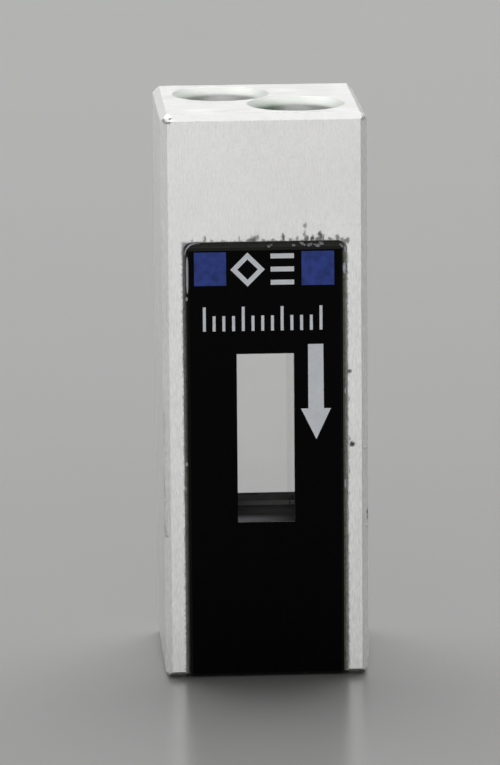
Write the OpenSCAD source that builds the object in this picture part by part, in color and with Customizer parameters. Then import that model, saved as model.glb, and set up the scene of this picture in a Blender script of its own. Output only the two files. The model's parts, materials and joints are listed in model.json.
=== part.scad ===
// Flow-through cuvette: a black quartz cell with two clear windows, bonded into a metal housing
// with two threaded ports. Millimetres. Z is up, the printed front faces -Y, and the origin is
// at the middle of the base. Light passes along Y. Liquid comes down the right-hand port, runs
// to the bottom of the chamber and leaves through the left-hand port.

/* [Housing] */
// Width of the housing across its two rails
housing_w = 12.5; // [12:0.1:16]
// Depth of the housing along the light path
housing_d = 12.5; // [12:0.1:16]
// Height of the housing above the bench
housing_h = 35; // [29:0.5:45]
// Thickness of each side rail
rail_t = 1.25; // [0.8:0.05:1.6]
// Thickness of the solid head above the cell
head_t = 7.8; // [5:0.1:9.5]
// Corner radius at the top of the slot that holds the cell
slot_corner_r = 0.6; // [0.3:0.05:1]
// Chamfer on the housing's outer edges
housing_chamfer = 0.4; // [0.2:0.05:0.6]

/* [Ports] */
// Nominal diameter of the port threads, which the threaded length is drawn at
thread_d = 6; // [4:0.1:6.1]
// Depth of the threaded length below the top face
thread_depth = 6.3; // [3:0.1:7.2]
// Tapping drill, which runs on below the thread to the top of the cell
tap_drill_d = 5; // [3.4:0.1:5.2]
// Metal left between a port's thread and the nearest two outer faces
port_wall = 1.05; // [0.7:0.05:1.1]

/* [Quartz cell] */
// Gap that the adhesive fills on each side of the cell
seam_side_t = 0.25; // [0.1:0.05:0.4]
// Gap that the adhesive fills above the cell
seam_top_t = 0.4; // [0.2:0.05:0.8]
// Bevel on the outer edges of the cell
cell_bevel = 0.15; // [0.05:0.05:0.3]
// How far the cell's front and back faces sit inside the housing's faces
cell_recess = 0.05; // [0.02:0.01:0.2]
// Gap between the bench and the underside of the cell
foot_gap = 0.1; // [0.05:0.05:0.5]

/* [Light path] */
// Distance from the top of the housing down to the middle of the light beam
beam_drop = 20; // [17:0.5:23]
// Width of the aperture and of the chamber behind it
aperture_w = 3.5; // [2:0.1:4.2]
// Height of the aperture and of the chamber behind it
aperture_h = 10.5; // [6:0.5:13]
// Length of the light path through the liquid
path_length = 5; // [2:0.1:6.5]
// Thickness of each clear window
window_t = 1.25; // [0.8:0.05:1.5]
// Thickness of black quartz in front of the front window
front_lip_t = 2; // [1:0.1:2.5]
// Shoulder round the chamber that the back window is fused to
window_land = 1.75; // [1:0.05:2.1]

/* [Ducts] */
// Bore of the ducts between the ports and the chamber
duct_d = 1; // [0.6:0.1:1.2]
// Bore of the cross duct that opens along the chamber floor
cross_duct_d = 1.1; // [0.7:0.1:1.3]
// Black quartz left between the chamber and the duct beside it
duct_wall = 1.1; // [0.6:0.05:1.2]
// How far a duct's bore runs on past a bend
duct_runout = 0.3; // [0:0.05:0.35]
// Height of the inlet duct's bend above the top of the chamber
bend_rise = 1.5; // [1:0.1:2]
// How far the outlet duct's mouth lies from the middle of the chamber roof
outlet_offset = 0.6; // [0:0.1:1]

/* [Hidden] */
$fn = 64;

// How far a cutting shape reaches past the face that it opens
overcut = 1;

slot_w = housing_w - 2 * rail_t;
slot_top_z = housing_h - head_t;
port_x = housing_w / 2 - port_wall - thread_d / 2;
port_y = housing_d / 2 - port_wall - thread_d / 2;

cell_w = slot_w - 2 * seam_side_t;
cell_d = housing_d - 2 * cell_recess;
cell_top_z = slot_top_z - seam_top_t;
cell_h = cell_top_z - foot_gap;

beam_z = housing_h - beam_drop;
chamber_floor_z = beam_z - aperture_h / 2;
chamber_roof_z = beam_z + aperture_h / 2;
back_window_w = aperture_w + 2 * window_land;
back_window_h = aperture_h + 2 * window_land;
front_window_y = -cell_d / 2 + front_lip_t;
chamber_y = front_window_y + window_t;
back_window_y = chamber_y + path_length;
chamber_mid_y = chamber_y + path_length / 2;

// The inlet port is at the front right and the outlet port at the back left
inlet_mouth = [port_x, -port_y, cell_top_z];
side_duct_x = aperture_w / 2 + duct_wall + duct_d / 2;
inlet_bend = [side_duct_x, chamber_mid_y, chamber_roof_z + bend_rise];
inlet_foot = [side_duct_x, chamber_mid_y, chamber_floor_z];
cross_duct_end = [-aperture_w / 2, chamber_mid_y, chamber_floor_z];
outlet_mouth = [-port_x, port_y, cell_top_z];
outlet_foot = [-outlet_offset, chamber_mid_y, chamber_roof_z - duct_d / 2];

// Rectangle about the origin with its four corners cut off
module chamfered_rectangle(w, h, c) {
    x = w / 2;
    y = h / 2;
    polygon([
        [c - x, -y], [x - c, -y], [x, c - y], [x, y - c],
        [x - c, y], [c - x, y], [-x, y - c], [-x, c - y]
    ]);
}

// Box standing on z = 0 with every edge chamfered
module chamfered_box(w, d, h, c) {
    intersection() {
        linear_extrude(h)
            chamfered_rectangle(w, d, c);
        translate([0, d / 2, h / 2])
            rotate([90, 0, 0])
                linear_extrude(d)
                    chamfered_rectangle(w, h, c);
        translate([-w / 2, 0, h / 2])
            rotate([90, 0, 90])
                linear_extrude(w)
                    chamfered_rectangle(d, h, c);
    }
}

// Upright block through the middle of the part, between two depths and two heights
module block(w, y_from, y_to, z_from, z_to) {
    translate([-w / 2, y_from, z_from])
        cube([w, y_to - y_from, z_to - z_from]);
}

// Outline of the slot seen from the front, open at the bottom, with rounded top corners
module slot_outline(bottom_z) {
    r = slot_corner_r;
    translate([-slot_w / 2, bottom_z])
        square([slot_w, slot_top_z - r - bottom_z]);
    translate([r - slot_w / 2, bottom_z])
        square([slot_w - 2 * r, slot_top_z - bottom_z]);
    for (side = [-1, 1])
        translate([side * (slot_w / 2 - r), slot_top_z - r])
            circle(r);
}

// Slot of a given depth along Y, about the middle of the housing
module slot(depth, bottom_z) {
    translate([0, depth / 2, 0])
        rotate([90, 0, 0])
            linear_extrude(depth)
                slot_outline(bottom_z);
}

// Bores for the two ports, on a diagonal of the head: tapping drill, then threaded length
module port_bores() {
    for (side = [-1, 1])
        translate([side * port_x, -side * port_y, 0]) {
            translate([0, 0, cell_top_z - cell_bevel])
                cylinder(d = tap_drill_d, h = housing_h - cell_top_z);
            translate([0, 0, housing_h - thread_depth])
                cylinder(d = thread_d, h = thread_depth + overcut);
        }
}

// Straight round duct between two points, which can run on past either of them
module duct(from, to, d, before = 0, after = 0) {
    run = to - from;
    length = norm(run);
    translate(from)
        rotate([0, acos(run.z / length), atan2(run.y, run.x)])
            translate([0, 0, -before])
                cylinder(d = d, h = before + length + after);
}

// Down from the front port, along the right of the chamber and across its floor. Each bore
// runs on past the bend that it makes with the next one.
module inlet_duct() {
    duct(inlet_mouth, inlet_bend, duct_d, overcut, duct_runout);
    duct(inlet_bend, inlet_foot, duct_d, duct_runout, duct_runout);
    duct(inlet_foot, cross_duct_end, cross_duct_d, duct_runout);
}

// From the back port down into the top of the chamber
module outlet_duct() {
    duct(outlet_mouth, outlet_foot, duct_d, overcut);
}

// Metal block with a slot for the cell and two ports in its head
module housing() {
    color("#cfcfcd")
        difference() {
            chamfered_box(housing_w, housing_d, housing_h, housing_chamfer);
            slot(housing_d + 2 * overcut, -overcut);
            port_bores();
        }
}

// Black quartz block: light slot, pocket for the back window, and the two ducts
module cell_body() {
    color("#0b0b0c")
        difference() {
            translate([0, 0, foot_gap])
                chamfered_box(cell_w, cell_d, cell_h, cell_bevel);
            block(aperture_w, -cell_d / 2 - overcut, back_window_y,
                  chamber_floor_z, chamber_roof_z);
            block(back_window_w, back_window_y, cell_d / 2 + overcut,
                  beam_z - back_window_h / 2, beam_z + back_window_h / 2);
            inlet_duct();
            outlet_duct();
        }
}

// Clear pane fused into the light slot, which closes the front of the chamber
module front_window() {
    color("#dfe6ea", 0.4)
        block(aperture_w, front_window_y, chamber_y, chamber_floor_z, chamber_roof_z);
}

// Clear pane on the shoulder of the back pocket, which closes the back of the chamber
module back_window() {
    color("#dfe6ea", 0.4)
        block(back_window_w, back_window_y, back_window_y + window_t,
              beam_z - back_window_h / 2, beam_z + back_window_h / 2);
}

// Cured adhesive between the cell and the slot, kept out of the ports
module adhesive_seam() {
    color("#55584a")
        difference() {
            slot(cell_d - 2 * cell_bevel, foot_gap + cell_bevel);
            translate([0, 0, foot_gap])
                chamfered_box(cell_w, cell_d, cell_h, cell_bevel);
            port_bores();
        }
}

housing();
cell_body();
front_window();
back_window();
adhesive_seam();
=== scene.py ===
import json
import math

import bmesh
import bpy
from mathutils import Matrix, Vector, noise


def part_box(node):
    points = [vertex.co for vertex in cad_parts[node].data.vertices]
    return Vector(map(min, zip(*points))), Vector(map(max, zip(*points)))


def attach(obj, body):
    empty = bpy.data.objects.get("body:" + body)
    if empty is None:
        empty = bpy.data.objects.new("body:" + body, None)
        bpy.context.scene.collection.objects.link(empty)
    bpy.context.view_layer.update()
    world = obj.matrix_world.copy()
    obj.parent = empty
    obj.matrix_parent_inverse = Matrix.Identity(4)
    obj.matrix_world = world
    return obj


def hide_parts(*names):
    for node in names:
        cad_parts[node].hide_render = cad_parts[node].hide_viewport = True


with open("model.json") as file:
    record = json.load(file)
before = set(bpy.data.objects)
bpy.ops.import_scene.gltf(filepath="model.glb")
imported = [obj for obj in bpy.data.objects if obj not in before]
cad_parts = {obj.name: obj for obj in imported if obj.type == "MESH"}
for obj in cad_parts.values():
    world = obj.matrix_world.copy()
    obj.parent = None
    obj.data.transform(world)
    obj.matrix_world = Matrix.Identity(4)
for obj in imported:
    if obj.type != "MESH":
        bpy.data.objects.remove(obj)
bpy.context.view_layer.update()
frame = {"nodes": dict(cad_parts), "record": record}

bl_info = {
    "name": "Flow-through cuvette finishes",
    "version": (1, 0, 0),
    "blender": (4, 5, 0),
    "location": "View3D > Sidebar > Cuvette",
    "description":
        "Finishes, windows, port threads, print and adhesive for a flow-through cuvette",
    "category": "Object",
}

BODY = "root"
MM = 0.001


def box_mm(node):
    """Lowest and highest corner of a CAD node, in millimetres."""
    low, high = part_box(node)
    return low / MM, high / MM


HOUSING_LOW, HOUSING_HIGH = box_mm("housing")
CELL_LOW, CELL_HIGH = box_mm("cell_body")
SEAM_LOW, SEAM_HIGH = box_mm("adhesive_seam")
FRONT_PANE_LOW, FRONT_PANE_HIGH = box_mm("front_window")
BACK_PANE_LOW = box_mm("back_window")[0]
MOUNTS = {m["name"]: m for m in frame["record"]["mounts"]}
PORTS = {"inlet_thread": "inlet_port", "outlet_thread": "outlet_port"}


def linear(hex_colour, alpha=1.0):
    """A colour written as sRGB hex, as linear red, green, blue and alpha."""
    parts = [int(hex_colour[i:i + 2], 16) / 255 for i in (1, 3, 5)]
    return tuple(
        p / 12.92 if p <= 0.04045 else ((p + 0.055) / 1.055) ** 2.4 for p in parts
    ) + (alpha,)


def add(tree, kind, inputs=None, **settings):
    """Adds a node, sets its properties, and sets or links its inputs by name or index.

    An input is a value, an output of another node, or a node, whose first output is used.
    """
    made = tree.nodes.new("ShaderNode" + kind)
    for name, value in settings.items():
        setattr(made, name, value)
    for key, value in (inputs or {}).items():
        socket = made.inputs[key]
        if isinstance(value, bpy.types.Node):
            value = value.outputs[0]
        if isinstance(value, bpy.types.NodeSocket):
            tree.links.new(value, socket)
        else:
            socket.default_value = value
    return made


def blank_material(name):
    """A material with a Principled shader and its Object coordinates in millimetres."""
    material = bpy.data.materials.new(name)
    material.use_nodes = True
    tree = material.node_tree
    tree.nodes.clear()
    shader = add(tree, "BsdfPrincipled")
    add(tree, "OutputMaterial", {"Surface": shader})
    place = add(tree, "TexCoord")
    scaled = add(
        tree, "Mapping", {"Vector": place.outputs["Object"], "Scale": (1 / MM, 1 / MM, 1 / MM)})
    return material, tree, shader, scaled.outputs[0]


def finish_piece(name, bm, materials, crease=40):
    """Turns a bmesh in millimetres into a piece at the origin that rides on the body.

    Edges that turn by more than the crease, in degrees, stay sharp.
    """
    bmesh.ops.scale(bm, vec=(MM, MM, MM), verts=bm.verts)
    bmesh.ops.remove_doubles(bm, verts=bm.verts, dist=1e-7)
    bmesh.ops.recalc_face_normals(bm, faces=bm.faces)
    mesh = bpy.data.meshes.new(name)
    bm.to_mesh(mesh)
    bm.free()
    mesh.polygons.foreach_set("use_smooth", [True] * len(mesh.polygons))
    mesh.set_sharp_from_angle(angle=math.radians(crease))
    for material in materials:
        mesh.materials.append(material)
    piece = bpy.data.objects.new(name, mesh)
    bpy.context.scene.collection.objects.link(piece)
    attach(piece, BODY)
    return piece


def refinish(node, material):
    """Gives a CAD node a better material, and leaves its mesh as it is."""
    for material_slot in frame["nodes"][node].material_slots:
        material_slot.material = material


# ---------------------------------------------------------------- sizes and colours


def tint(name, description, hex_colour):
    """A colour setting, with its default written as sRGB hex."""
    return bpy.props.FloatVectorProperty(
        name=name, description=description, subtype="COLOR", size=4, min=0, max=1,
        default=linear(hex_colour))


def number(name, description, lowest, highest, default, subtype="NONE"):
    """A setting that holds one number."""
    return bpy.props.FloatProperty(
        name=name, description=description, min=lowest, max=highest, default=default,
        subtype=subtype)


class HousingFinish(bpy.types.PropertyGroup):
    """Satin aluminium of the housing."""

    colour: tint("Metal colour", "Reflected colour of the clean metal", "#f6f6f5")
    # this colour also paints the shade on the bottom chamfer
    stain_and_shade: tint("Stain colour", "Colour of the residue round the slot", "#2e2f27")
    bore: tint("Bore colour", "Reflected colour of the metal inside the ports", "#ffffff")
    mouth: tint("Mouth colour", "Reflected colour of the countersunk mouths", "#e9ede7")
    # painted shade: the colour that the lower and left parts of the bores are darkened towards
    bore_shade: tint("Oil colour", "Colour of the old cutting oil left in the ports", "#3c7a3c")
    grain_contrast: number(
        "Grain contrast", "How much darker the darkest grain is", 0, 1, 0.24, "FACTOR")
    roughness: number(
        "Roughness", "Mean roughness of the satin finish", 0, 1, 0.42, "FACTOR")
    grain_width: number(
        "Grain width (mm)", "Width of one line of the upright grain", 0.02, 1, 0.11)
    grain_length: number(
        "Grain length (mm)", "Length of one line of the upright grain", 0.02, 5, 0.5)


class ThreadSizes(bpy.types.PropertyGroup):
    """Threads in the two ports."""

    pitch: number("Pitch (mm)", "Rise of the thread in one turn", 0.5, 2, 1.0)
    crest_radius: number(
        "Crest radius (mm)", "Distance from the port's axis to the crests", 1, 5, 2.5)
    lead_in: number(
        "Lead-in (mm)", "Depth of the plain bore above the first turn", 0, 3, 1.3)


class PrintColours(bpy.types.PropertyGroup):
    """Ink on the front of the cell."""

    blue: tint("Blue", "Colour of the two square fields", "#30479c")
    pale: tint("Pale", "Colour of the marks, the ticks and the arrow", "#f5f9ff")
    stroke: number("Stroke (mm)", "Width of the printed lines", 0.05, 1, 0.3)


class SeamColours(bpy.types.PropertyGroup):
    """Adhesive between the cell and the housing."""

    left: tint("Adhesive at the left", "Colour of the adhesive in the left gap", "#7e807a")
    top: tint("Adhesive above", "Colour of the adhesive above the cell", "#30312c")
    right: tint(
        "Adhesive at the right", "Colour of the adhesive in the right gap", "#727867")
    thin: tint("Thin adhesive", "Colour where it thins out on the metal", "#c8c9c4")
    # painted highlight: this pale colour on the clear beads and drops stands in for their gloss
    clear: tint("Clear bead", "Colour of the pale beads and drops on it", "#c6cad3")
    dust: tint("Crumbs", "Colour of the crumbs caught in the gap", "#a2a2a8")


class StageSettings(bpy.types.PropertyGroup):
    """Floor and lights."""

    floor: tint("Floor colour", "Colour of the plain pale floor", "#9f9f9e")
    overhead: number(
        "Overhead light (W)", "Power of the softbox above, a little behind", 0, 20, 1.89)
    rear: number(
        "Rear light (W)", "Power of the wide softbox above and behind", 0, 20, 3.16)
    backdrop: number(
        "Backdrop light (W)", "Power of the long softbox low behind", 0, 20, 0.46)
    key: number("Key light (W)", "Power of the softbox high in front", 0, 20, 0.3)
    front: number("Front light (W)", "Power of the low softbox in front", 0, 20, 0.95)
    left: number("Left light (W)", "Power of the low softbox at the left", 0, 20, 0.34)
    left_rear: number(
        "Left rear light (W)", "Power of the low softbox behind, to the left", 0, 20, 0.17)
    right: number("Right light (W)", "Power of the low softbox at the right", 0, 20, 0.22)
    surround: number("Surround", "Brightness of the room all round", 0, 5, 0.15)


# How far a normal leans along each of the two axes that a 45 degree bevel lies between, and
# how far off that it may be and still count as on the bevel
BEVEL_LEAN = math.sqrt(0.5)
BEVEL_LEEWAY = 0.15
QUARTZ_IOR = 1.458
EPOXY_IOR = 1.55


# ---------------------------------------------------------------- housing


def satin_aluminium(settings):
    """Machined aluminium with a fine satin grain: a broad soft highlight, pale grey."""
    material, tree, shader, place = blank_material("satin_aluminium")
    facing = add(tree, "SeparateXYZ", {0: add(tree, "NewGeometry").outputs["Normal"]})
    # one where the metal faces up
    level = add(tree, "Math", {0: facing.outputs[2], 1: 0.8}, operation="GREATER_THAN")
    # upright grain on the sides: fine lines seen as a faint speckle that runs along the height
    upright = add(
        tree, "Mapping", {"Vector": place,
        "Scale": (1 / settings.grain_width, 1 / settings.grain_width, 1 / settings.grain_length)})
    # milling on top: shallow streaks across the width, some 3 mm long
    milled = add(
        tree, "Mapping", {"Vector": place, "Rotation": (0, 0, math.radians(8)),
        "Scale": (0.35, 0.5 / settings.grain_width, 1.0)})
    grain_place = add(tree, "Mix", {0: level, 4: upright, 5: milled}, data_type="VECTOR")
    grain = add(
        tree, "TexNoise", {"Vector": grain_place.outputs[1], "Scale": 1.0, "Detail": 3.0,
        "Roughness": 0.65})
    # handling: patches about 5 mm across that are a little duller
    patches = add(tree, "TexNoise", {"Vector": place, "Scale": 0.2, "Detail": 4.0})
    shade = add(
        tree, "MapRange", {"Value": grain, "From Min": 0.3, "From Max": 0.7,
        "To Min": 1 - settings.grain_contrast, "To Max": 1.0})
    patch_shade = add(
        tree, "MapRange", {"Value": patches, "From Min": 0.3, "From Max": 0.7, "To Min": 0.95,
        "To Max": 1.0})
    both = add(tree, "Math", {0: shade, 1: patch_shade}, operation="MULTIPLY")
    # painted highlight: the chamfers that face up at 45 degrees are made brighter, and lose the
    # grain
    painted_chamfer_highlight = add(
        tree, "Math", {0: facing.outputs[2], 1: BEVEL_LEAN, 2: BEVEL_LEEWAY}, operation="COMPARE")
    both = add(tree, "Mix", {0: painted_chamfer_highlight, 2: both, 3: 1.03})
    clean = add(
        tree, "VectorMath", {0: tuple(settings.colour)[:3], "Scale": both}, operation="SCALE")
    ragged = ragged_place(tree, place)
    in_bore, deep, bore_shade_cover = bore_masks(tree, place)
    bored = add(
        tree, "Mix", {0: deep, 6: tuple(settings.mouth), 7: tuple(settings.bore)},
        data_type="RGBA")
    # painted shade: the deeper and the left parts of each bore are darkened and tinted green
    bored = add(
        tree, "Mix", {0: bore_shade_cover, 6: bored.outputs[2], 7: tuple(settings.bore_shade)}, data_type="RGBA")
    with_bores = add(tree, "Mix", {0: in_bore, 6: clean, 7: bored.outputs[2]}, data_type="RGBA")
    front = front_share(tree, place)
    # the stain mask also holds the painted shade on the bottom chamfer
    stain_and_shade = residue_and_base_shade_mask(tree, ragged, front)
    stained_and_shaded = add(
        tree, "Mix", {0: stain_and_shade, 6: with_bores.outputs[2], 7: tuple(settings.stain_and_shade)},
        data_type="RGBA")
    # the nick mask also holds the painted highlight strips on the left chamfer
    nicks_and_highlights = add(
        tree, "Math", {0: spread_marks(tree, ragged, NICKS_AND_HIGHLIGHTS), 1: front}, operation="MULTIPLY")
    colour = add(
        tree, "Mix", {0: nicks_and_highlights, 6: stained_and_shaded.outputs[2], 7: (0.9, 0.9, 0.9, 1)}, data_type="RGBA")
    tree.links.new(colour.outputs[2], shader.inputs["Base Color"])
    # residue, and the painted shade on the bottom chamfer, scatter light instead of mirroring it
    metal = add(tree, "Math", {0: 1.0, 1: stain_and_shade}, operation="SUBTRACT")
    tree.links.new(metal.outputs[0], shader.inputs["Metallic"])
    roughness = add(
        tree, "MapRange", {"Value": grain, "From Min": 0.3, "From Max": 0.7,
        "To Min": settings.roughness - 0.07, "To Max": settings.roughness + 0.07})
    # the drilled bores are rougher than the outside, which spreads the light in them
    roughness = add(tree, "Mix", {0: in_bore, 2: roughness, 3: 0.55})
    tree.links.new(roughness.outputs[0], shader.inputs["Roughness"])
    bump = add(tree, "Bump", {"Height": grain, "Strength": 0.5, "Distance": 0.012 * MM})
    # the lips of the nicks and of the painted highlight strips stand up a little, and catch the
    # light from above
    lips = add(
        tree, "Bump", {"Height": nicks_and_highlights, "Strength": 1.0, "Distance": 0.08 * MM, "Normal": bump})
    tree.links.new(lips.outputs[0], shader.inputs["Normal"])
    return material


def ragged_place(tree, place):
    """Front-view coordinates with y left out, shaken by 0.1 mm so that marks look torn."""
    wobble = add(tree, "TexNoise", {"Vector": place, "Scale": 4.5, "Detail": 2.5})
    shake = add(
        tree, "VectorMath", {0: wobble.outputs["Color"], 1: (0.5, 0.5, 0.5)}, operation="SUBTRACT")
    shake = add(tree, "VectorMath", {0: shake, "Scale": 0.35}, operation="SCALE")
    shaken = add(tree, "VectorMath", {0: place, 1: shake}, operation="ADD")
    return add(tree, "VectorMath", {0: shaken, 1: (1, 0, 1)}, operation="MULTIPLY")


# Dark residue on the metal: x, z, half width, half height in millimetres, and strength
RESIDUE = (
    (-4.40, 27.30, 0.10, 0.16, 0.45), (-3.64, 27.36, 0.11, 0.30, 0.60),
    (-3.20, 27.24, 0.16, 0.16, 0.45), (-2.55, 27.22, 0.20, 0.16, 0.45),
    (-1.52, 27.34, 0.09, 0.26, 0.45), (-0.94, 27.22, 0.24, 0.24, 0.65),
    (-0.68, 27.30, 0.30, 0.30, 0.75), (-0.46, 27.42, 0.18, 0.24, 0.50),
    (-0.04, 27.24, 0.20, 0.16, 0.55), (0.50, 27.26, 0.14, 0.18, 0.55),
    (1.13, 27.40, 0.12, 0.40, 0.80), (1.60, 27.24, 0.16, 0.18, 0.55),
    (1.98, 27.30, 0.10, 0.22, 0.50), (2.44, 27.50, 0.10, 0.44, 0.50),
    (2.54, 27.32, 0.18, 0.26, 0.75), (2.90, 27.34, 0.14, 0.26, 0.85),
    (3.20, 27.24, 0.20, 0.20, 0.75), (3.38, 27.46, 0.17, 0.42, 0.80),
    (3.56, 27.36, 0.12, 0.30, 0.65), (3.95, 27.24, 0.20, 0.20, 0.60),
    (4.44, 27.34, 0.16, 0.26, 0.60), (4.70, 27.22, 0.16, 0.18, 0.55),
    (5.06, 27.18, 0.14, 0.24, 0.60), (2.45, 28.13, 0.20, 0.22, 0.50),
    (5.24, 14.54, 0.20, 0.20, 0.95),
    (5.08, 19.09, 0.15, 0.18, 0.80), (5.09, 17.35, 0.10, 0.24, 0.40),
    (6.20, 10.08, 0.08, 0.46, 0.80), (5.08, 12.90, 0.10, 0.30, 0.35),
)
# Bright nicks in the metal, written the same way; the two long strips on the left chamfer are a
# painted highlight
NICKS_AND_HIGHLIGHTS = (
    (-5.85, 34.72, 0.28, 0.28, 0.80), (6.02, 34.75, 0.12, 0.30, 0.50),
    (-6.20, 10.20, 0.12, 1.40, 0.80), (-6.20, 13.50, 0.10, 4.50, 0.40),
    (5.12, 14.90, 0.09, 0.09, 0.40),
)


def spread_marks(tree, ragged, marks):
    """How far marks cover each point: soft ovals, the strongest one winning."""
    total = 0.0
    for x, z, half_width, half_height, strength in marks:
        oval = add(
            tree, "Mapping", {"Vector": ragged, "Location": (x, 0, z),
            "Scale": (half_width, 1, half_height)}, vector_type="TEXTURE")
        fade = add(tree, "TexGradient", {0: oval}, gradient_type="SPHERICAL")
        cover = add(
            tree, "MapRange", {"Value": fade.outputs[1], "From Max": 0.55, "To Min": 0.0,
            "To Max": strength})
        total = add(tree, "Math", {0: total, 1: cover}, operation="MAXIMUM")
    return total


# Cover of the painted shade 0.8 mm down each port, all round and in the heavier patch at its left
BORE_SHADE_COVER = {"outlet_port": (0.0, 0.4), "inlet_port": (0.1, 0.8)}


def bore_masks(tree, place):
    """Where the metal lies inside a port, how deep it is, and how far painted shade covers it."""
    height = add(tree, "SeparateXYZ", {0: place})
    deep = add(
        tree, "MapRange", {"Value": height.outputs[2], "From Min": HOUSING_HIGH.z - 0.1,
        "From Max": HOUSING_HIGH.z - 0.8})
    inside, bore_shade = 0.0, 0.0
    for mount_name, (all_round, in_patch) in BORE_SHADE_COVER.items():
        mount = MOUNTS[mount_name]
        axis = Vector(mount["pos_m"]) / MM
        moved = add(tree, "VectorMath", {0: place, 1: (axis.x, axis.y, 0)}, operation="SUBTRACT")
        flat = add(tree, "VectorMath", {0: moved, 1: (1, 1, 0)}, operation="MULTIPLY")
        away = add(tree, "VectorMath", {0: flat}, operation="LENGTH")
        near = add(
            tree, "Math", {0: away.outputs["Value"], 1: mount["dims"]["r_mm"] + 0.05},
            operation="LESS_THAN")
        patch = add(
            tree, "Mapping", {"Vector": flat, "Location": (-1.9, 2.2, 0), "Scale": (1.5, 3, 1)},
            vector_type="TEXTURE")
        patch = add(tree, "TexGradient", {0: patch}, gradient_type="SPHERICAL")
        cover = add(
            tree, "MapRange", {"Value": patch.outputs[1], "From Max": 0.6, "To Min": all_round,
            "To Max": in_patch})
        cover_here = add(tree, "Math", {0: cover, 1: near}, operation="MULTIPLY")
        inside = add(tree, "Math", {0: inside, 1: near}, operation="MAXIMUM")
        bore_shade = add(tree, "Math", {0: bore_shade, 1: cover_here}, operation="MAXIMUM")
    below = add(
        tree, "Math", {0: height.outputs[2], 1: HOUSING_HIGH.z - 0.02}, operation="LESS_THAN")
    inside = add(tree, "Math", {0: inside, 1: below}, operation="MULTIPLY")
    bore_shade = add(tree, "Math", {0: bore_shade, 1: deep}, operation="MULTIPLY")
    return inside, deep, bore_shade


def front_share(tree, place):
    """One at the front of the object, falling to nothing 0.6 mm behind the cell's face."""
    axes = add(tree, "SeparateXYZ", {0: place})
    return add(
        tree, "MapRange", {"Value": axes.outputs[1], "From Min": CELL_LOW.y + 0.6,
        "From Max": CELL_LOW.y + 0.3})


def residue_and_base_shade_mask(tree, ragged, front):
    """Where the metal is darkened: stain marks, smears along the slot's edge, and painted shade on
    the bottom chamfer.
    """
    torn = add(tree, "SeparateXYZ", {0: ragged})
    marks = spread_marks(tree, ragged, RESIDUE)
    # distance outside the slot's outline, sideways and upwards
    across = add(tree, "Math", {0: torn.outputs[0]}, operation="ABSOLUTE")
    beside = add(tree, "Math", {0: across, 1: SEAM_HIGH.x}, operation="SUBTRACT")
    above = add(tree, "Math", {0: torn.outputs[2], 1: SEAM_HIGH.z}, operation="SUBTRACT")
    outside = add(tree, "Math", {0: beside, 1: above}, operation="MAXIMUM")
    smear = add(
        tree, "MapRange", {"Value": outside, "From Min": 0.09, "From Max": -0.05, "To Min": 0.0,
        "To Max": 0.6})
    marked = add(tree, "Math", {0: marks, 1: smear}, operation="MAXIMUM")
    in_front = add(tree, "Math", {0: marked, 1: front}, operation="MULTIPLY")
    # painted shade: the bottom chamfer, the lowest 0.36 mm of the metal, is darkened
    painted_base_shade = add(
        tree, "MapRange", {"Value": torn.outputs[2], "From Min": 0.36, "From Max": 0.18,
        "To Min": 0.0, "To Max": 0.85})
    return add(tree, "Math", {0: in_front, 1: painted_base_shade}, operation="MAXIMUM")


# Burrs that stand on the upright chamfers: x, z and size
BURRS = ((6.06, 14.27, 0.10), (6.11, 9.38, 0.09), (-6.07, 8.95, 0.10), (-6.10, 9.22, 0.07))
HOUSING_CHAMFER = 0.4
# Where a chamfer would meet the middle plane, so that y follows from x along it
CHAMFER_Y = HOUSING_LOW.y - (HOUSING_HIGH.x - HOUSING_CHAMFER)


def rough_grains(name, grains, material):
    """A piece made of rough grains, each given as x, y, z and size in millimetres."""
    bumps_per_mm, bumpiness = 12, 0.5
    stretch = (1.15, 0.7, 0.9)
    bm = bmesh.new()
    for x, y, z, size in grains:
        made = bmesh.ops.create_icosphere(bm, subdivisions=3, radius=size)["verts"]
        for vert in made:
            spot = vert.co * bumps_per_mm + Vector((x, 0, z))
            vert.co *= 1 + bumpiness * noise.noise(spot)
        bmesh.ops.scale(bm, vec=stretch, verts=made)
        bmesh.ops.translate(bm, vec=(x, y, z), verts=made)
    finish_piece(name, bm, [material])


class CUVETTE_OT_housing(bpy.types.Operator):
    """Give the metal housing its satin finish, and the burrs on its chamfers"""

    bl_idname = "cuvette.housing"
    bl_label = "Finish housing"

    def execute(self, context):
        material = satin_aluminium(context.scene.cuvette_housing)
        refinish("housing", material)
        burrs = [(x, CHAMFER_Y + abs(x), z, size) for x, z, size in BURRS]
        rough_grains("housing_burrs", burrs, material)
        return {"FINISHED"}


# ---------------------------------------------------------------- port threads


# Outline of a port's countersunk mouth: distance in from the wall, and depth below the top
MOUTH = (
    (0.0, 0.03), (0.03, 0.002), (0.16, 0.13), (0.28, 0.25), (0.39, 0.367), (0.48, 0.47),
    (0.52, 0.54), (0.53, 0.66), (0.53, 1.15), (0.0, 1.60),
)
# Half the width of the thread's ridge at its root and at its crest
ROOT_HALF = 0.46
CREST_HALF = 0.149
# Gap between the lowest ridge and the floor of the threaded length
FLOOR_GAP = 0.02
# How far the threads and the mouths reach into the metal
THREAD_SUNK = 0.03
# Facets in one turn of the thread, and round a mouth
THREAD_FACETS = 48
MOUTH_FACETS = 96


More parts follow.
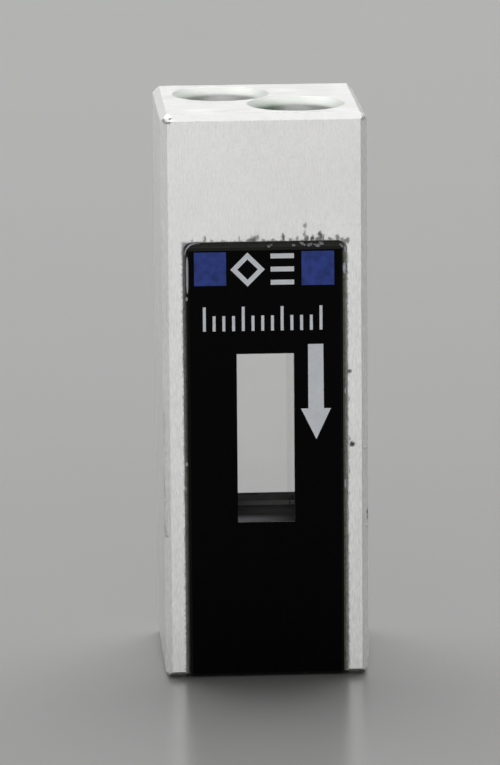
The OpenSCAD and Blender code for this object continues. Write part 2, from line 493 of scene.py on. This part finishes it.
def thread_piece(name, mount, settings, material):
    """A helical ridge that lines a port, below a mouth with a rounded lead-in."""
    top_z = HOUSING_HIGH.z
    crest = settings.crest_radius
    wall = mount["dims"]["r_mm"] + THREAD_SUNK
    bm = bmesh.new()
    bottom_z = top_z - mount["dims"]["length_mm"] + ROOT_HALF + FLOOR_GAP
    profile = [bm.verts.new((radius, 0, bottom_z + rise)) for radius, rise in (
        (wall, -ROOT_HALF), (crest, -CREST_HALF), (crest, CREST_HALF), (wall, ROOT_HALF))]
    edges = [bm.edges.new((a, b)) for a, b in zip(profile, profile[1:] + profile[:1])]
    turns = (top_z - settings.lead_in - ROOT_HALF - bottom_z) / settings.pitch
    steps = round(turns * THREAD_FACETS)
    bmesh.ops.spin(
        bm, geom=profile + edges, cent=(0, 0, 0), axis=(0, 0, 1),
        dvec=(0, 0, settings.pitch / THREAD_FACETS),
        angle=steps * math.tau / THREAD_FACETS, steps=steps, use_merge=False,
    )
    bmesh.ops.holes_fill(bm, edges=bm.edges, sides=4)
    mouth = [bm.verts.new((wall - inset, 0, top_z - depth)) for inset, depth in MOUTH]
    mouth_edges = [bm.edges.new((a, b)) for a, b in zip(mouth, mouth[1:] + mouth[:1])]
    bmesh.ops.spin(
        bm, geom=mouth + mouth_edges, cent=(0, 0, 0), axis=(0, 0, 1),
        angle=math.tau, steps=MOUTH_FACETS, use_merge=True,
    )
    centre = Vector(mount["pos_m"]) / MM
    bmesh.ops.translate(bm, vec=(centre.x, centre.y, 0), verts=bm.verts)
    finish_piece(name, bm, [material])


class CUVETTE_OT_threads(bpy.types.Operator):
    """Line the two ports with their threads and countersunk mouths"""

    bl_idname = "cuvette.threads"
    bl_label = "Add port threads"

    def execute(self, context):
        material = frame["nodes"]["housing"].material_slots[0].material
        for name, mount_name in PORTS.items():
            thread_piece(name, MOUNTS[mount_name], context.scene.cuvette_threads, material)
        return {"FINISHED"}


# ---------------------------------------------------------------- quartz cell


# The linings of the light slot stand this far out of the black quartz, and this far into it
LINING = 0.01
SUNK = 0.04
# The linings start this far behind the face of the cell
SLOT_FRONT_Y = CELL_LOW.y + 0.2
SLOT_BACK_Y = BACK_PANE_LOW.y
CROSS_DUCT_RADIUS = 0.55
CROSS_DUCT_Y = (FRONT_PANE_HIGH.y + BACK_PANE_LOW.y) / 2
# How far the edges of a pane reach into the black quartz, and the bevel on them
PANE_FUSED = 0.05
PANE_BEVEL = 0.02


def black_quartz():
    """Black fused quartz with polished faces, deep and glossy, and ground grey bevels."""
    material, tree, shader, place = blank_material("black_fused_quartz")
    # smears a few millimetres across that only show in the gloss
    smears = add(tree, "TexNoise", {"Vector": place, "Scale": 0.35, "Detail": 5.0})
    polish = add(
        tree, "MapRange", {"Value": smears, "From Min": 0.35, "From Max": 0.7, "To Min": 0.03,
        "To Max": 0.14})
    tree.links.new(polish.outputs[0], shader.inputs["Roughness"])
    # dust and fine grit marks about 0.1 mm apart
    grit = add(tree, "TexNoise", {"Vector": place, "Scale": 9.0, "Detail": 4.0})
    polished = add(
        tree, "Mix", {0: grit, 6: linear("#010101"), 7: linear("#050505")}, data_type="RGBA")
    # the bevels round the two faces point half away from them
    facing = add(tree, "SeparateXYZ", {0: add(tree, "NewGeometry").outputs["Normal"]})
    away = add(tree, "Math", {0: facing.outputs[1]}, operation="ABSOLUTE")
    bevel = add(tree, "Math", {0: away, 1: BEVEL_LEAN, 2: BEVEL_LEEWAY}, operation="COMPARE")
    # the bevel on top holds a film of adhesive
    above = add(tree, "Math", {0: facing.outputs[2], 1: 0.5}, operation="GREATER_THAN")
    ground = add(
        tree, "Mix", {0: above, 6: linear("#20201e"), 7: linear("#3a3a36")}, data_type="RGBA")
    colour = add(
        tree, "Mix", {0: bevel, 6: polished.outputs[2], 7: ground.outputs[2]}, data_type="RGBA")
    tree.links.new(colour.outputs[2], shader.inputs["Base Color"])
    shader.inputs["IOR"].default_value = QUARTZ_IOR
    shader.inputs["Specular IOR Level"].default_value = 0.03
    bump = add(tree, "Bump", {"Height": grit, "Strength": 0.1, "Distance": 0.004 * MM})
    tree.links.new(bump.outputs[0], shader.inputs["Normal"])
    return material


def fire_polished_quartz():
    """Fire-polished black quartz with a wet film: black face on, a mirror at a low angle."""
    material, tree, shader, place = blank_material("fire_polished_black_quartz")
    shader.inputs["Base Color"].default_value = linear("#020202")
    # flow lines about 1 mm apart, left by the flame
    flow = add(tree, "TexNoise", {"Vector": place, "Scale": 1.0, "Detail": 2.0})
    polish = add(
        tree, "MapRange", {"Value": flow, "From Min": 0.3, "From Max": 0.7, "To Min": 0.01,
        "To Max": 0.05})
    tree.links.new(polish.outputs[0], shader.inputs["Roughness"])
    shader.inputs["IOR"].default_value = QUARTZ_IOR
    shader.inputs["Coat Weight"].default_value = 1.0
    shader.inputs["Coat Roughness"].default_value = 0.02
    shader.inputs["Coat IOR"].default_value = QUARTZ_IOR
    return material


def ground_quartz():
    """Ground black quartz, matt, with painted light on the sill in front of the pane."""
    material, tree, shader, place = blank_material("ground_black_quartz")
    axes = add(tree, "SeparateXYZ", {0: place})
    # grit marks about 0.1 mm apart
    grit = add(tree, "TexNoise", {"Vector": place, "Scale": 9.0, "Detail": 4.0})
    bare = add(
        tree, "Mix", {0: grit, 6: linear("#0c0c0c"), 7: linear("#141414")}, data_type="RGBA")
    # the floor is paler from its front to the back of the front pane, fading out over 1.9 mm
    # behind it
    joint = add(
        tree, "MapRange", {"Value": axes.outputs[1], "From Min": FRONT_PANE_HIGH.y + 1.9,
        "From Max": FRONT_PANE_HIGH.y})
    bare = add(tree, "Mix", {0: joint, 6: bare.outputs[2], 7: linear("#464646")}, data_type="RGBA")
    # painted highlight: the groove of the cross duct is paler
    from_middle = add(tree, "Math", {0: axes.outputs[1], 1: CROSS_DUCT_Y}, operation="SUBTRACT")
    from_middle = add(tree, "Math", {0: from_middle}, operation="ABSOLUTE")
    painted_groove_highlight = add(
        tree, "MapRange", {"Value": from_middle, "From Min": CROSS_DUCT_RADIUS + 0.1,
        "From Max": CROSS_DUCT_RADIUS - 0.2})
    bare = add(
        tree, "Mix", {0: painted_groove_highlight, 6: bare.outputs[2], 7: linear("#868684")}, data_type="RGBA")
    # painted light: the sill in front of the pane is made pale, most at its left, with a mottle
    before_pane = add(
        tree, "MapRange", {"Value": axes.outputs[1], "From Min": FRONT_PANE_LOW.y + 0.1,
        "From Max": FRONT_PANE_LOW.y - 1.1})
    dust = add(
        tree, "MapRange", {"Value": axes.outputs[0], "From Min": FRONT_PANE_LOW.x,
        "From Max": FRONT_PANE_HIGH.x, "To Min": 1.0, "To Max": 0.05})
    sill_mottle = add(
        tree, "MapRange", {"Value": grit, "From Min": 0.35, "From Max": 0.6, "To Min": 0.6,
        "To Max": 1.0})
    # how far the painted light covers the sill
    dusty = add(tree, "Math", {0: before_pane, 1: dust}, operation="MULTIPLY")
    dusty = add(tree, "Math", {0: dusty, 1: sill_mottle}, operation="MULTIPLY")
    colour = add(
        tree, "Mix", {0: dusty, 6: bare.outputs[2], 7: linear("#cfcfd3")}, data_type="RGBA")
    tree.links.new(colour.outputs[2], shader.inputs["Base Color"])
    shader.inputs["Roughness"].default_value = 0.9
    shader.inputs["IOR"].default_value = QUARTZ_IOR
    shader.inputs["Specular IOR Level"].default_value = 0.0
    return material


def clear_quartz():
    """Optically polished clear fused quartz: faint reflections, almost no colour."""
    material, tree, shader, place = blank_material("clear_fused_quartz")
    shader.inputs["Base Color"].default_value = (1, 1, 1, 1)
    shader.inputs["Transmission Weight"].default_value = 1.0
    shader.inputs["IOR"].default_value = QUARTZ_IOR
    # bloomed faces: less than half of the usual reflection
    shader.inputs["Specular Tint"].default_value = (0.2, 0.2, 0.2, 1)
    # dried film: patches about 2 mm across that blur the view a very little
    film = add(tree, "TexNoise", {"Vector": place, "Scale": 0.5, "Detail": 3.0})
    haze = add(
        tree, "MapRange", {"Value": film, "From Min": 0.4, "From Max": 0.75, "To Min": 0.0,
        "To Max": 0.03})
    tree.links.new(haze.outputs[0], shader.inputs["Roughness"])
    return material


def pane(name, node, material):
    """A clear pane with bevelled edges, fused a hair's breadth into the black quartz."""
    low, high = box_mm(node)
    size = high - low + 2 * PANE_FUSED * Vector((1, 0, 1))
    bm = bmesh.new()
    bmesh.ops.create_cube(bm, size=1)
    bmesh.ops.scale(bm, vec=size, verts=bm.verts)
    bmesh.ops.translate(bm, vec=(low + high) / 2, verts=bm.verts)
    bmesh.ops.bevel(
        bm, geom=bm.edges[:], offset=PANE_BEVEL, affect="EDGES", segments=2, profile=0.5,
        material=-1,
    )
    piece = finish_piece(name, bm, [material], crease=20)
    # clear glass lets nearly all the light through to the chamber
    piece.visible_shadow = False
    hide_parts(node)


def duct_arc(radius, rise):
    """Half circle round the cross duct as y, z points, front to back, below or above it."""
    steps = 12
    turns = [math.pi * i / steps for i in range(steps + 1)]
    return [
        (CROSS_DUCT_Y - radius * math.cos(turn),
         FRONT_PANE_LOW.z + rise * radius * math.sin(turn)) for turn in turns
    ]


def sheet_across(bm, outline, x_from, x_to):
    """Adds a solid between two x places, whose side view is the outline of y, z points."""
    face = bm.faces.new([bm.verts.new((x_from, y, z)) for y, z in outline])
    raised = bmesh.ops.extrude_face_region(bm, geom=[face])
    moved = [v for v in raised["geom"] if isinstance(v, bmesh.types.BMVert)]
    bmesh.ops.translate(bm, vec=(x_to - x_from, 0, 0), verts=moved)


def slot_floor(material):
    """Ground floor of the light slot, with the groove of the duct and the back pane's joint."""
    low_z = FRONT_PANE_LOW.z
    joint = 0.1
    bm = bmesh.new()
    outline = [
        (SLOT_FRONT_Y, low_z + LINING), *duct_arc(CROSS_DUCT_RADIUS - LINING, -1),
        (SLOT_BACK_Y - joint, low_z + LINING), (SLOT_BACK_Y, low_z + LINING + joint),
        (SLOT_BACK_Y, low_z - SUNK), *duct_arc(CROSS_DUCT_RADIUS + SUNK, -1)[::-1],
        (SLOT_FRONT_Y, low_z - SUNK),
    ]
    sheet_across(bm, outline, FRONT_PANE_LOW.x, FRONT_PANE_HIGH.x)
    finish_piece("slot_floor", bm, [material])


def slot_walls(material):
    """Polished side walls of the light slot, with the mouth of the cross duct at the right."""
    low_z, high_z = FRONT_PANE_LOW.z + LINING, FRONT_PANE_HIGH.z - LINING
    top = [(SLOT_BACK_Y, high_z), (SLOT_FRONT_Y, high_z)]
    ends = [(SLOT_FRONT_Y, low_z), (SLOT_BACK_Y, low_z)]
    mouth = [(y, max(z, low_z)) for y, z in duct_arc(CROSS_DUCT_RADIUS, 1)]
    inner, outer = FRONT_PANE_HIGH.x - LINING, FRONT_PANE_HIGH.x + SUNK
    bm = bmesh.new()
    sheet_across(bm, ends + top, -outer, -inner)
    sheet_across(bm, [ends[0], *mouth, ends[1], *top], inner, outer)
    finish_piece("slot_walls", bm, [material])


class CUVETTE_OT_cell(bpy.types.Operator):
    """Give the black cell its polish, line its light slot, and set the clear panes in it"""

    bl_idname = "cuvette.cell"
    bl_label = "Finish cell and add windows"

    def execute(self, context):
        refinish("cell_body", black_quartz())
        slot_floor(ground_quartz())
        slot_walls(fire_polished_quartz())
        glass = clear_quartz()
        pane("front_pane", "front_window", glass)
        pane("back_pane", "back_window", glass)
        return {"FINISHED"}


# ---------------------------------------------------------------- print


def printed_ink(name, colour, mottle):
    """Screen-printed enamel: matt, a little uneven, with pinholes about 0.1 mm across."""
    material, tree, shader, place = blank_material(name)
    cloud = add(tree, "TexNoise", {"Vector": place, "Scale": 2.5, "Detail": 4.0})
    shade = add(
        tree, "MapRange", {"Value": cloud, "From Min": 0.3, "From Max": 0.7, "To Min": 1 - mottle,
        "To Max": 1 + mottle})
    tinted = add(tree, "VectorMath", {0: tuple(colour)[:3], "Scale": shade}, operation="SCALE")
    tree.links.new(tinted.outputs[0], shader.inputs["Base Color"])
    fine = add(tree, "TexNoise", {"Vector": place, "Scale": 10.0, "Detail": 2.0})
    roughness = add(
        tree, "MapRange", {"Value": fine, "From Min": 0.3, "From Max": 0.7, "To Min": 0.45,
        "To Max": 0.65})
    tree.links.new(roughness.outputs[0], shader.inputs["Roughness"])
    shader.inputs["Specular IOR Level"].default_value = 0.3
    bump = add(tree, "Bump", {"Height": fine, "Strength": 0.3, "Distance": 0.004 * MM})
    tree.links.new(bump.outputs[0], shader.inputs["Normal"])
    return material


# How far the ink stands out of the cell's face, and how far it reaches into it
INK_PROUD = 0.012
INK_SUNK = 0.004
# Layout of the print in x and z. The blue fields are given as left, right, bottom and top
BLUE_FIELDS = ((-4.30, -2.35, 24.50, 26.56), (2.23, 4.22, 24.45, 26.55))
# Diamond: x and z of its middle, and its reach. Bars: left, right, and z of each
DIAMOND = (-1.05, 25.47, 1.05)
BAR_LEFT, BAR_RIGHT, BAR_HEIGHTS = 0.35, 1.78, (24.66, 25.47, 26.28)
# Ticks: x of the first and the last, how many, and how many steps there are to a long one
TICKS_LEFT, TICKS_RIGHT, TICK_COUNT, LONG_EVERY = -3.70, 3.40, 13, 4
TICK_HALF_WIDTH, TICK_FOOT, SHORT_TICK_TOP, LONG_TICK_TOP = 0.09, 21.68, 22.62, 23.18
ARROW = (
    (2.60, 20.80), (2.60, 16.80), (2.15, 16.80), (3.08, 14.88),
    (3.98, 16.80), (3.55, 16.80), (3.53, 20.80),
)


def raise_ink(bm, faces):
    """Gives flat faces of ink their thickness, from just inside the cell to just proud of it."""
    raised = bmesh.ops.extrude_face_region(bm, geom=faces)
    moved = [v for v in raised["geom"] if isinstance(v, bmesh.types.BMVert)]
    bmesh.ops.translate(bm, vec=(0, -INK_PROUD - INK_SUNK, 0), verts=moved)


def lay_ink(bm, corners):
    """Adds one field of ink to the face of the cell: a polygon given as x, z corners."""
    raise_ink(bm, [bm.faces.new(
        [bm.verts.new((x, CELL_LOW.y + INK_SUNK, z)) for x, z in corners])])


def rectangle(x0, x1, z0, z1):
    """Corners of an upright rectangle."""
    return [(x0, z0), (x1, z0), (x1, z1), (x0, z1)]


def diamond_outline(bm, x, z, reach, stroke):
    """Adds a square ring of ink that stands on its corner."""
    place = Matrix.Translation((x, CELL_LOW.y + INK_SUNK, z)) @ Matrix.Rotation(
        math.radians(90), 4, "X")
    corners = bmesh.ops.create_circle(
        bm, cap_ends=True, radius=reach, segments=4, matrix=place)["verts"]
    middle = corners[0].link_faces[0]
    ring = bmesh.ops.inset_region(
        bm, faces=[middle], thickness=stroke, use_boundary=True, use_even_offset=True,
    )["faces"]
    bmesh.ops.delete(bm, geom=[middle], context="FACES_ONLY")
    raise_ink(bm, ring)


class CUVETTE_OT_print(bpy.types.Operator):
    """Print the square fields, the plain marks, the ticks and the flow arrow"""

    bl_idname = "cuvette.print"
    bl_label = "Add print"

    def execute(self, context):
        colours = context.scene.cuvette_print
        blue = printed_ink("blue_enamel_ink", colours.blue, 0.35)
        pale = printed_ink("pale_enamel_ink", colours.pale, 0.06)
        bm = bmesh.new()
        for field in BLUE_FIELDS:
            lay_ink(bm, rectangle(*field))
        finish_piece("print_squares", bm, [blue])
        bm = bmesh.new()
        stroke = colours.stroke
        diamond_outline(bm, *DIAMOND, stroke)
        for z in BAR_HEIGHTS:
            lay_ink(bm, rectangle(BAR_LEFT, BAR_RIGHT, z - stroke / 2, z + stroke / 2))
        finish_piece("print_marks", bm, [pale])
        bm = bmesh.new()
        for i in range(TICK_COUNT):
            x = TICKS_LEFT + i * (TICKS_RIGHT - TICKS_LEFT) / (TICK_COUNT - 1)
            top = SHORT_TICK_TOP if i % LONG_EVERY else LONG_TICK_TOP
            lay_ink(bm, rectangle(x - TICK_HALF_WIDTH, x + TICK_HALF_WIDTH, TICK_FOOT, top))
        finish_piece("print_ticks", bm, [pale])
        bm = bmesh.new()
        lay_ink(bm, ARROW)
        finish_piece("print_arrow", bm, [pale])
        return {"FINISHED"}


# ---------------------------------------------------------------- adhesive


def cured_adhesive(name, stops, roughness, mottle):
    """Cured epoxy that has picked up dust: uneven, and clouded every 0.1 mm or so.

    The stops are its colours from left to right, each with its x in millimetres.
    """
    material, tree, shader, place = blank_material(name)
    axes = add(tree, "SeparateXYZ", {0: place})
    share = add(
        tree, "MapRange", {"Value": axes.outputs[0], "From Min": SEAM_LOW.x,
        "From Max": SEAM_HIGH.x})
    base = add(tree, "ValToRGB", {0: share})
    ramp = base.color_ramp
    ramp.elements.remove(ramp.elements[1])
    for i, (x, colour) in enumerate(stops):
        position = (x - SEAM_LOW.x) / (SEAM_HIGH.x - SEAM_LOW.x)
        stop = ramp.elements.new(position) if i else ramp.elements[0]
        stop.position, stop.color = position, tuple(colour)
    cloud = add(
        tree, "TexNoise", {"Vector": place, "Scale": 4.5, "Detail": 4.0, "Roughness": 0.65})
    shade = add(
        tree, "MapRange", {"Value": cloud, "From Min": 0.3, "From Max": 0.7, "To Min": 1 - mottle,
        "To Max": 1 + mottle})
    tinted = add(tree, "VectorMath", {0: base, "Scale": shade}, operation="SCALE")
    tree.links.new(tinted.outputs[0], shader.inputs["Base Color"])
    shader.inputs["IOR"].default_value = EPOXY_IOR
    shader.inputs["Roughness"].default_value = roughness
    shader.inputs["Specular IOR Level"].default_value = 0.3
    bump = add(tree, "Bump", {"Height": cloud, "Strength": 0.6, "Distance": 0.05 * MM})
    tree.links.new(bump.outputs[0], shader.inputs["Normal"])
    return material


def bead(name, path, radii, flatten, material):
    """A rounded bead along a path of x, y, z points in millimetres."""
    curve = bpy.data.curves.new(name, "CURVE")
    curve.dimensions = "3D"
    curve.bevel_depth = 1.0
    curve.bevel_resolution = 3
    curve.use_fill_caps = True
    spline = curve.splines.new("POLY")
    spline.points.add(len(path) - 1)
    for point, place, radius in zip(spline.points, path, radii):
        point.co = (place[0], place[1], place[2], 1)
        point.radius = radius
    source = bpy.data.objects.new(name + "_path", curve)
    bpy.context.scene.collection.objects.link(source)
    mesh = bpy.data.meshes.new_from_object(source)
    bm = bmesh.new()
    bm.from_mesh(mesh)
    bpy.data.objects.remove(source)
    bpy.data.curves.remove(curve)
    bpy.data.meshes.remove(mesh)
    middle = path[0][1]
    bmesh.ops.scale(
        bm, vec=(1, flatten, 1), verts=bm.verts,
        space=Matrix.Translation((0, -middle, 0)),
    )
    bmesh.ops.remove_doubles(bm, verts=bm.verts, dist=1e-5)
    finish_piece(name, bm, [material])


def seam_path(y):
    """Points along the middle of the gap, up one side, over the cell and down the other."""
    side_steps, corner_steps, top_steps = 120, 6, 48
    side_x = (CELL_HIGH.x + SEAM_HIGH.x) / 2
    top_z = (CELL_HIGH.z + SEAM_HIGH.z) / 2
    corner = 0.42
    foot_z = SEAM_LOW.z + 0.15
    side = [
        (-side_x, y, foot_z + (top_z - corner - foot_z) * i / side_steps)
        for i in range(side_steps)
    ]
    for i in range(corner_steps + 1):
        turn = math.pi - i * math.pi / (2 * corner_steps)
        side.append((
            -side_x + corner + corner * math.cos(turn), y,
            top_z - corner + corner * math.sin(turn),
        ))
    top = [
        (-side_x + corner + (2 * side_x - 2 * corner) * i / top_steps, y, top_z)
        for i in range(1, top_steps)
    ]
    return side + top + [(-x, y, z) for x, _, z in reversed(side)]


def uneven_radii(path):
    """A radius for each point of a bead: a slow swell, and a quicker ripple on it."""
    mean, swell, swells_per_mm, ripple, ripples_per_mm = 0.07, 0.045, 1.3, 0.035, 5
    return [
        mean + swell * noise.noise(Vector((x * swells_per_mm, y, z * swells_per_mm)))
        + ripple * noise.noise(Vector((x * ripples_per_mm, y + 4, z * ripples_per_mm)))
        for x, y, z in path
    ]


# Depth of the middle of the drops and the crumbs, which stand a little out of the seam
PROUD_Y = SEAM_LOW.y - 0.03
# Path along the left-hand bevel where clear adhesive has crept out, made pale as a painted
# highlight: z and bead radius
CLEAR_HIGHLIGHT_STRIP = (
    (24.02, 0.012), (24.15, 0.05), (24.5, 0.075), (24.9, 0.085), (25.4, 0.09),
    (25.8, 0.085), (26.1, 0.06), (26.3, 0.015),
)
# Clear fillet in the top left corner of the gap, made pale as a painted highlight: x, z and bead
# radius
CLEAR_HIGHLIGHT_CORNER = (
    (-4.84, 26.30, 0.01), (-4.83, 26.52, 0.035), (-4.76, 26.76, 0.05),
    (-4.60, 26.97, 0.07), (-4.40, 27.07, 0.075), (-4.20, 27.09, 0.055), (-3.95, 27.08, 0.02),
)
# Drops of clear adhesive in the side gaps, made pale as a painted highlight: x, z, half width and
# half height
DROPS = (
    (4.86, 25.46, 0.13, 0.36), (-4.76, 23.69, 0.08, 0.13), (-4.86, 13.43, 0.09, 0.15),
    (-4.93, 11.90, 0.06, 0.14), (4.86, 12.05, 0.07, 0.28), (4.88, 17.85, 0.07, 0.20),
    (4.90, 26.63, 0.06, 0.22),
)
# Crumbs of adhesive and metal dust along the top of the gap: x, z and size
CRUMBS = (
    (0.27, 26.87, 0.09), (0.42, 26.95, 0.06), (1.76, 26.91, 0.09), (2.18, 27.06, 0.07),
    (2.28, 27.00, 0.10), (2.42, 26.92, 0.07), (2.70, 26.90, 0.12), (2.86, 26.98, 0.07),
    (3.06, 26.94, 0.06), (3.23, 26.87, 0.13), (3.38, 27.03, 0.08), (3.48, 26.98, 0.11),
    (3.98, 26.66, 0.07), (4.10, 26.64, 0.09), (4.62, 26.90, 0.07), (4.72, 26.80, 0.08),
)


class CUVETTE_OT_adhesive(bpy.types.Operator):
    """Finish the adhesive, and add the uneven beads, the drops and the crumbs on it"""

    bl_idname = "cuvette.adhesive"
    bl_label = "Finish adhesive"

    def execute(self, context):
        colours = context.scene.cuvette_seam
        stops = (
            (SEAM_LOW.x, colours.thin), (SEAM_LOW.x + 0.1, colours.left),
            (SEAM_LOW.x + 0.22, colours.top), (CELL_HIGH.x - 0.15, colours.top),
            (SEAM_HIGH.x - 0.15, colours.right), (SEAM_HIGH.x, colours.thin),
        )
        cured = cured_adhesive("cured_epoxy", stops, 0.6, 0.35)
        # the pale colour of the clear adhesive is a painted highlight on its beads and drops
        clear = cured_adhesive("clear_epoxy", [(0, colours.clear)], 0.2, 0.2)
        dusty = cured_adhesive("dusty_epoxy", [(0, colours.dust)], 0.8, 0.35)
        refinish("adhesive_seam", cured)
        for name, y in (("seam_bead_front", SEAM_LOW.y), ("seam_bead_back", SEAM_HIGH.y)):
            path = seam_path(y)
            bead(name, path, uneven_radii(path), 0.7, cured)
        strip_x, strip_y = CELL_LOW.x + 0.04, SEAM_LOW.y - 0.06
        bead(
            "seam_bead_clear", [(strip_x, strip_y, z) for z, _ in CLEAR_HIGHLIGHT_STRIP],
            [radius for _, radius in CLEAR_HIGHLIGHT_STRIP], 0.9, clear,
        )
        bead(
            "seam_corner_clear", [(x, SEAM_LOW.y, z) for x, z, _ in CLEAR_HIGHLIGHT_CORNER],
            [radius for _, _, radius in CLEAR_HIGHLIGHT_CORNER], 1.0, clear,
        )
        self.drops(clear)
        crumbs = [(x, PROUD_Y, z, size) for x, z, size in CRUMBS]
        rough_grains("seam_crumbs", crumbs, dusty)
        return {"FINISHED"}

    def drops(self, material):
        """Drops of clear adhesive that stand in the gaps beside the cell, pale as a painted
        highlight.
        """
        bm = bmesh.new()
        for x, z, half_width, half_height in DROPS:
            made = bmesh.ops.create_icosphere(bm, subdivisions=3, radius=1)["verts"]
            bmesh.ops.scale(bm, vec=(half_width, half_width, half_height), verts=made)
            bmesh.ops.translate(bm, vec=(x, PROUD_Y, z), verts=made)
        finish_piece("seam_drops", bm, [material])


# ---------------------------------------------------------------- floor, lights, camera


# Place that the lights point at, in metres
LIGHT_AIM = Vector((0, 0, 0.018))
# Camera: where it stands and what it points at in millimetres, its turn about its own axis in
# degrees, and its focal length and sensor in millimetres
CAMERA_PLACE = Vector((-18.99, -342.53, 86.76))
CAMERA_AIM = Vector((-0.62, 0, 17.22))
CAMERA_ROLL = -0.45
FOCAL_LENGTH, SENSOR = 265.6, 36
# Half the width of the floor in metres
FLOOR_REACH = 3.0
# Setting that holds the power, place in metres, width and depth of each soft light
SOFTBOXES = (
    ("overhead", (0, 0.22, 0.6), 0.6, 0.5),
    ("rear", (0, 0.34, 0.56), 0.8, 0.6),
    ("backdrop", (0, 0.9, 0.15), 1.6, 0.25),
    ("key", (-0.1, -0.6, 0.5), 0.4, 0.3),
    ("front", (-0.1, -0.75, 0.1), 0.6, 0.16),
    ("left", (-0.7, -0.05, 0.08), 0.4, 0.14),
    ("left_rear", (-0.327, 0.752, 0.065), 0.4, 0.1),
    ("right", (0.7, -0.05, 0.08), 0.4, 0.14),
)


def softbox(name, place, width, depth, power):
    """A rectangular soft light that points at the middle of the object."""
    light = bpy.data.lights.new(name, "AREA")
    light.shape = "RECTANGLE"
    light.size, light.size_y = width, depth
    light.energy = power
    lamp = bpy.data.objects.new(name, light)
    bpy.context.scene.collection.objects.link(lamp)
    lamp.location = place
    aim = LIGHT_AIM - Vector(place)
    lamp.rotation_euler = aim.to_track_quat("-Z", "Y").to_euler()
    lamp.visible_camera = False


class CUVETTE_OT_stage(bpy.types.Operator):
    """Lay the floor, and set up the lights and the camera"""

    bl_idname = "cuvette.stage"
    bl_label = "Set the stage"

    def execute(self, context):
        settings = context.scene.cuvette_stage
        material, tree, shader, place = blank_material("matt_floor_board")
        fine = add(tree, "TexNoise", {"Vector": place, "Scale": 0.02, "Detail": 3.0})
        shade = add(
            tree, "MapRange", {"Value": fine, "From Min": 0.3, "From Max": 0.7, "To Min": 0.98,
            "To Max": 1.0})
        tinted = add(
            tree, "VectorMath", {0: tuple(settings.floor)[:3], "Scale": shade}, operation="SCALE")
        tree.links.new(tinted.outputs[0], shader.inputs["Base Color"])
        # smooth enough to mirror the foot of the object softly
        shader.inputs["Roughness"].default_value = 0.24
        bm = bmesh.new()
        bmesh.ops.create_grid(bm, x_segments=8, y_segments=8, size=FLOOR_REACH)
        mesh = bpy.data.meshes.new("floor")
        bm.to_mesh(mesh)
        bm.free()
        mesh.materials.append(material)
        floor = bpy.data.objects.new("floor", mesh)
        context.scene.collection.objects.link(floor)

        world = bpy.data.worlds.new("studio")
        world.use_nodes = True
        background = world.node_tree.nodes["Background"]
        background.inputs[0].default_value = (1, 1, 1, 1)
        background.inputs[1].default_value = settings.surround
        context.scene.world = world
        for name, place, width, depth in SOFTBOXES:
            softbox(name + "_softbox", place, width, depth, getattr(settings, name))

        lens = bpy.data.cameras.new("camera")
        lens.lens = FOCAL_LENGTH
        lens.sensor_width = SENSOR
        lens.clip_start, lens.clip_end = 0.01, 10
        camera = bpy.data.objects.new("camera", lens)
        context.scene.collection.objects.link(camera)
        eye = CAMERA_PLACE * MM
        aim = CAMERA_AIM * MM
        turn = (aim - eye).to_track_quat("-Z", "Y").to_matrix().to_4x4()
        roll = Matrix.Rotation(math.radians(CAMERA_ROLL), 4, "Z")
        camera.matrix_world = Matrix.Translation(eye) @ turn @ roll
        context.scene.camera = camera
        context.scene.view_settings.view_transform = "Standard"
        return {"FINISHED"}


# ---------------------------------------------------------------- panel and registration


class CUVETTE_PT_sidebar(bpy.types.Panel):
    """Sizes, colours and steps of the cuvette"""

    bl_idname = "CUVETTE_PT_sidebar"
    bl_label = "Cuvette"
    bl_space_type = "VIEW_3D"
    bl_region_type = "UI"
    bl_category = "Cuvette"

    def draw(self, context):
        for group_name, _, operators in STEPS:
            box = self.layout.box()
            if group_name:
                group = getattr(context.scene, group_name)
                for name in group.__annotations__:
                    box.prop(group, name)
            for operator in operators:
                box.operator(operator.bl_idname)


# Settings group, its class, and the operators that read it, in the order they run
STEPS = (
    ("cuvette_housing", HousingFinish, (CUVETTE_OT_housing,)),
    ("cuvette_threads", ThreadSizes, (CUVETTE_OT_threads,)),
    (None, None, (CUVETTE_OT_cell,)),
    ("cuvette_print", PrintColours, (CUVETTE_OT_print,)),
    ("cuvette_seam", SeamColours, (CUVETTE_OT_adhesive,)),
    ("cuvette_stage", StageSettings, (CUVETTE_OT_stage,)),
)


def register():
    """Adds the settings, the steps and the panel to Blender."""
    for group_name, group, operators in STEPS:
        if group:
            bpy.utils.register_class(group)
            setattr(bpy.types.Scene, group_name, bpy.props.PointerProperty(type=group))
        for operator in operators:
            bpy.utils.register_class(operator)
    bpy.utils.register_class(CUVETTE_PT_sidebar)


def unregister():
    """Takes them out again, in the opposite order."""
    bpy.utils.unregister_class(CUVETTE_PT_sidebar)
    for group_name, group, operators in reversed(STEPS):
        for operator in reversed(operators):
            bpy.utils.unregister_class(operator)
        if group:
            delattr(bpy.types.Scene, group_name)
            bpy.utils.unregister_class(group)


def main():
    register()
    for _, _, operators in STEPS:
        for operator in operators:
            group, name = operator.bl_idname.split(".")
            getattr(getattr(bpy.ops, group), name)()


if __name__ == "__main__":
    main()
